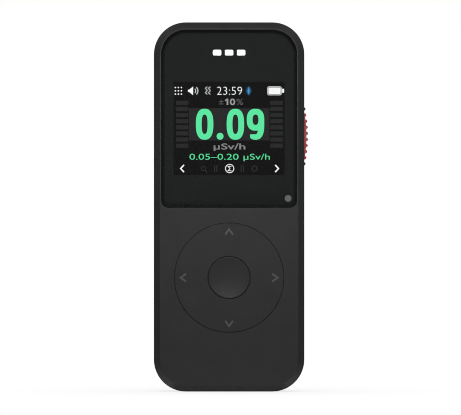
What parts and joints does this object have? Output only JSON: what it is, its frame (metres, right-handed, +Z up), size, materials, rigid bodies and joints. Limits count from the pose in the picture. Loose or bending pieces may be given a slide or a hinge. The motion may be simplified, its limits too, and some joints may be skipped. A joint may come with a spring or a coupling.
{
  "type": "geiger counter",
  "caption": "Handheld geiger counter: a rounded upright case with a tall glossy window and display, a round navigation ring with a centre key, and a ribbed side key.",
  "frame": {"origin": "middle of the flat bottom face of the case, midway across the width and the depth", "axes": "+Z up along the case's long side, +Y from the front face into the case towards its back, +X towards the side with the red key"},
  "size_m": [0.0564, 0.021, 0.135],
  "materials": {
    "case_plastic": "fine matte moulded texture, near black",
    "key_plastic": "fine matte, near black",
    "red_plastic": "satin red",
    "window_glass": "polished",
    "mask_ink": "printed black behind the window",
    "display_glass": "polished display glass",
    "clear_acrylic": "clear acrylic",
    "black_plastic": "matte",
    "white_plastic": "matte",
    "cream_plastic": "matte",
    "grey_silicone": "matte silicone",
    "black_foam": "closed-cell foam",
    "label_film": "blank satin film",
    "flex_film": "amber polyimide film",
    "clear_film": "thin dust film",
    "circuit_board": "green solder mask",
    "ceramic_parts": "tan ceramic",
    "ferrite": "dark ferrite",
    "shield_steel": "tinned sheet steel",
    "switch_steel": "small stamped covers",
    "tube_steel": "thin drawn steel",
    "black_steel": "black oxide",
    "cap_brass": "plain",
    "weight_metal": "sintered",
    "cell_pouch": "laminated pouch",
    "lead_wire": "insulated wire",
    "mesh_fabric": "fine acoustic mesh"
  },
  "bodies": {
    "case": {"front_case": "case_plastic", "rear_case": "case_plastic", "rear_label": "label_film", "case_screws": "black_steel", "window_lens": "window_glass", "window_mask": "mask_ink", "display_gasket": "black_foam", "display_panel": "display_glass", "display_light_guide": "clear_acrylic", "display_tray": "white_plastic", "display_flex": "flex_film", "display_connector": "cream_plastic", "light_pipe": "clear_acrylic", "indicator_led": "white_plastic", "key_mat": "grey_silicone", "nav_switches": "switch_steel", "center_switch": "black_plastic", "side_switch": "black_plastic", "main_board": "circuit_board", "board_screws": "black_steel", "board_chips": "black_plastic", "board_passives": "ceramic_parts", "radio_module": "shield_steel", "hv_shield": "shield_steel", "hv_transformer": "ferrite", "hv_capacitors": "ceramic_parts", "usb_socket": "shield_steel", "usb_tongue": "black_plastic", "gm_tube_shell": "tube_steel", "gm_tube_insulators": "white_plastic", "gm_tube_end_caps": "cap_brass", "gm_anode_wire": "tube_steel", "tube_clips": "cap_brass", "tube_sleeves": "grey_silicone", "detector_film": "clear_film", "battery_cell": "cell_pouch", "battery_pad": "black_foam", "battery_leads": "lead_wire", "battery_plug": "cream_plastic", "battery_socket": "cream_plastic", "buzzer": "black_plastic", "buzzer_seal": "black_foam", "buzzer_mesh": "mesh_fabric", "vibration_motor": "shield_steel", "motor_boot": "grey_silicone"},
    "gimbal": {"nav_gimbal": "white_plastic"},
    "ring": {"nav_ring": "key_plastic"},
    "center_key": {"center_key": "key_plastic"},
    "center_plunger": {"center_switch_plunger": "white_plastic"},
    "side_key": {"side_key": "red_plastic"},
    "side_plunger": {"side_switch_plunger": "white_plastic"},
    "weight": {"vibration_weight": "weight_metal"}
  },
  "joints": [
    {"name": "ring_tilt_up_down", "type": "hinge", "parent": "case", "child": "gimbal", "pos_m": [0, -0.0065, 0.04167], "axis": [1, 0, 0], "range_deg": [-1.5, 1.5]},
    {"name": "ring_tilt_left_right", "type": "hinge", "parent": "gimbal", "child": "ring", "pos_m": [0, -0.0065, 0.04167], "axis": [0, 0, 1], "range_deg": [-1.5, 1.5]},
    {"name": "center_key_press", "type": "slide", "parent": "case", "child": "center_key", "axis": [0, 1, 0], "range_m": [0, 0.00035]},
    {"name": "center_switch_press", "type": "slide", "parent": "case", "child": "center_plunger", "axis": [0, 1, 0], "range_m": [0, 0.00035]},
    {"name": "side_key_press", "type": "slide", "parent": "case", "child": "side_key", "axis": [-1, 0, 0], "range_m": [0, 0.0005]},
    {"name": "side_switch_press", "type": "slide", "parent": "case", "child": "side_plunger", "axis": [-1, 0, 0], "range_m": [0, 0.0005]},
    {"name": "vibration_spin", "type": "hinge", "parent": "case", "child": "weight", "pos_m": [0.002, 0.0008, 0.068], "axis": [1, 0, 0], "continuous": true}
  ],
  "couplings": [
    {"joint": "center_switch_press", "follows": "center_key_press", "ratio": 1},
    {"joint": "side_switch_press", "follows": "side_key_press", "ratio": 1}
  ]
}
